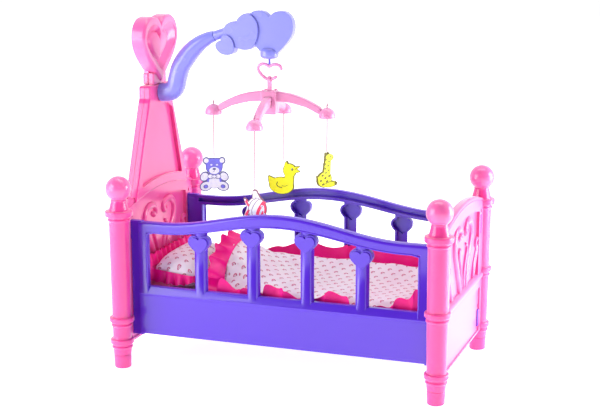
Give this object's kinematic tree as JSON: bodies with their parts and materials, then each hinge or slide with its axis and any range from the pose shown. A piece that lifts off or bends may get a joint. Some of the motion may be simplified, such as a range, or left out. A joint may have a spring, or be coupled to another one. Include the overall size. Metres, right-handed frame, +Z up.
{
  "type": "doll's cot with hanging mobile and bedding",
  "caption": "Doll's cot with wavy slatted rails, arched scrollwork ends, heart finial, curved arm with a hanging figure mobile, quilt and pillow.",
  "frame": {"origin": "on the floor, under the middle of the cot's footprint", "axes": "+Z up, -X the head end with the tower and finial, +X the foot end, -Y the front side rail"},
  "size_m": [0.4764, 0.2788, 0.48],
  "materials": {
    "violet": "moulded, satin gloss",
    "violet_dark": "moulded, satin gloss",
    "pink": "moulded, satin gloss",
    "pale_pink": "moulded, satin gloss",
    "lilac": "moulded, satin gloss",
    "steel": "zinc plated",
    "figure_violet": "printed flat sheet",
    "figure_yellow": "printed flat sheet",
    "figure_red": "printed flat sheet",
    "cotton": "printed cotton with satin ruffles"
  },
  "bodies": {
    "cot": {"headboard_panel": "pink", "footboard_panel": "pink", "side_rail_front": "violet", "side_rail_rear": "violet", "tower_front_shell": "pink", "tower_rear_shell": "pink", "heart_finial": "pink", "mobile_arm": "lilac", "heart_bracket": "lilac", "bed_base": "violet", "mattress": "cotton", "post_head_front": "pink", "foot_head_front": "pink", "ball_finial_head_front": "pink", "post_head_rear": "pink", "foot_head_rear": "pink", "ball_finial_head_rear": "pink", "post_foot_front": "pink", "foot_foot_front": "pink", "ball_finial_foot_front": "pink", "post_foot_rear": "pink", "foot_foot_rear": "pink", "ball_finial_foot_rear": "pink", "tower_screw_1": "steel", "tower_screw_2": "steel", "tower_screw_3": "steel", "tower_screw_4": "steel"},
    "swivel": {"hanger_pin": "violet_dark", "heart_hook": "pink"},
    "mobile": {"cross_bar_long": "pale_pink", "cross_bar_short": "pale_pink", "string_cap_bear": "pale_pink", "string_cap_fish": "pale_pink", "string_cap_giraffe": "pale_pink", "string_cap_duck": "pale_pink"},
    "bear_string": {"string_bear": "pale_pink"},
    "bear_figure": {"figure_bear": "figure_violet"},
    "fish_string": {"string_fish": "pale_pink"},
    "fish_figure": {"figure_fish": "figure_red"},
    "giraffe_string": {"string_giraffe": "pale_pink"},
    "giraffe_figure": {"figure_giraffe": "figure_yellow"},
    "duck_string": {"string_duck": "pale_pink"},
    "duck_figure": {"figure_duck": "figure_yellow"},
    "quilt_cover": {"quilt": "cotton"},
    "pillow_cushion": {"pillow": "cotton"}
  },
  "joints": [
    {"name": "mobile_swivel", "type": "hinge", "parent": "cot", "child": "swivel", "pos_m": [-0.0492, 0, 0.4147], "axis": [0, 0, 1], "continuous": true},
    {"name": "mobile_rock", "type": "hinge", "parent": "swivel", "child": "mobile", "pos_m": [-0.0492, 0, 0.3874], "axis": [0, 1, 0], "range_deg": [-6, 6]},
    {"name": "bear_swing", "type": "hinge", "parent": "mobile", "child": "bear_string", "pos_m": [-0.12842, -0.00875, 0.351], "axis": [-0.994, -0.1097, 0], "range_deg": [-12, 12]},
    {"name": "bear_twist", "type": "hinge", "parent": "bear_string", "child": "bear_figure", "pos_m": [-0.12842, -0.00875, 0.278], "axis": [0, 0, 1], "continuous": true},
    {"name": "fish_swing", "type": "hinge", "parent": "mobile", "child": "fish_string", "pos_m": [-0.04045, -0.07922, 0.344], "axis": [0.1097, -0.994, 0], "range_deg": [-8, 8]},
    {"name": "fish_twist", "type": "hinge", "parent": "fish_string", "child": "fish_figure", "pos_m": [-0.04045, -0.07922, 0.252], "axis": [0, 0, 1], "range_deg": [-16, 16]},
    {"name": "giraffe_swing", "type": "hinge", "parent": "mobile", "child": "giraffe_string", "pos_m": [0.03002, 0.00875, 0.351], "axis": [0.994, 0.1097, 0], "range_deg": [-12, 12]},
    {"name": "giraffe_twist", "type": "hinge", "parent": "giraffe_string", "child": "giraffe_figure", "pos_m": [0.03002, 0.00875, 0.291], "axis": [0, 0, 1], "continuous": true},
    {"name": "duck_swing", "type": "hinge", "parent": "mobile", "child": "duck_string", "pos_m": [-0.05795, 0.07922, 0.344], "axis": [-0.1097, 0.994, 0], "range_deg": [-12, 12]},
    {"name": "duck_twist", "type": "hinge", "parent": "duck_string", "child": "duck_figure", "pos_m": [-0.05795, 0.07922, 0.262], "axis": [0, 0, 1], "range_deg": [-12, 12]},
    {"name": "quilt_lift", "type": "slide", "parent": "cot", "child": "quilt_cover", "axis": [0, 0, 1], "range_m": [0, 0.025]},
    {"name": "pillow_lift", "type": "slide", "parent": "cot", "child": "pillow_cushion", "axis": [0, 0, 1], "range_m": [0, 0.025]}
  ]
}
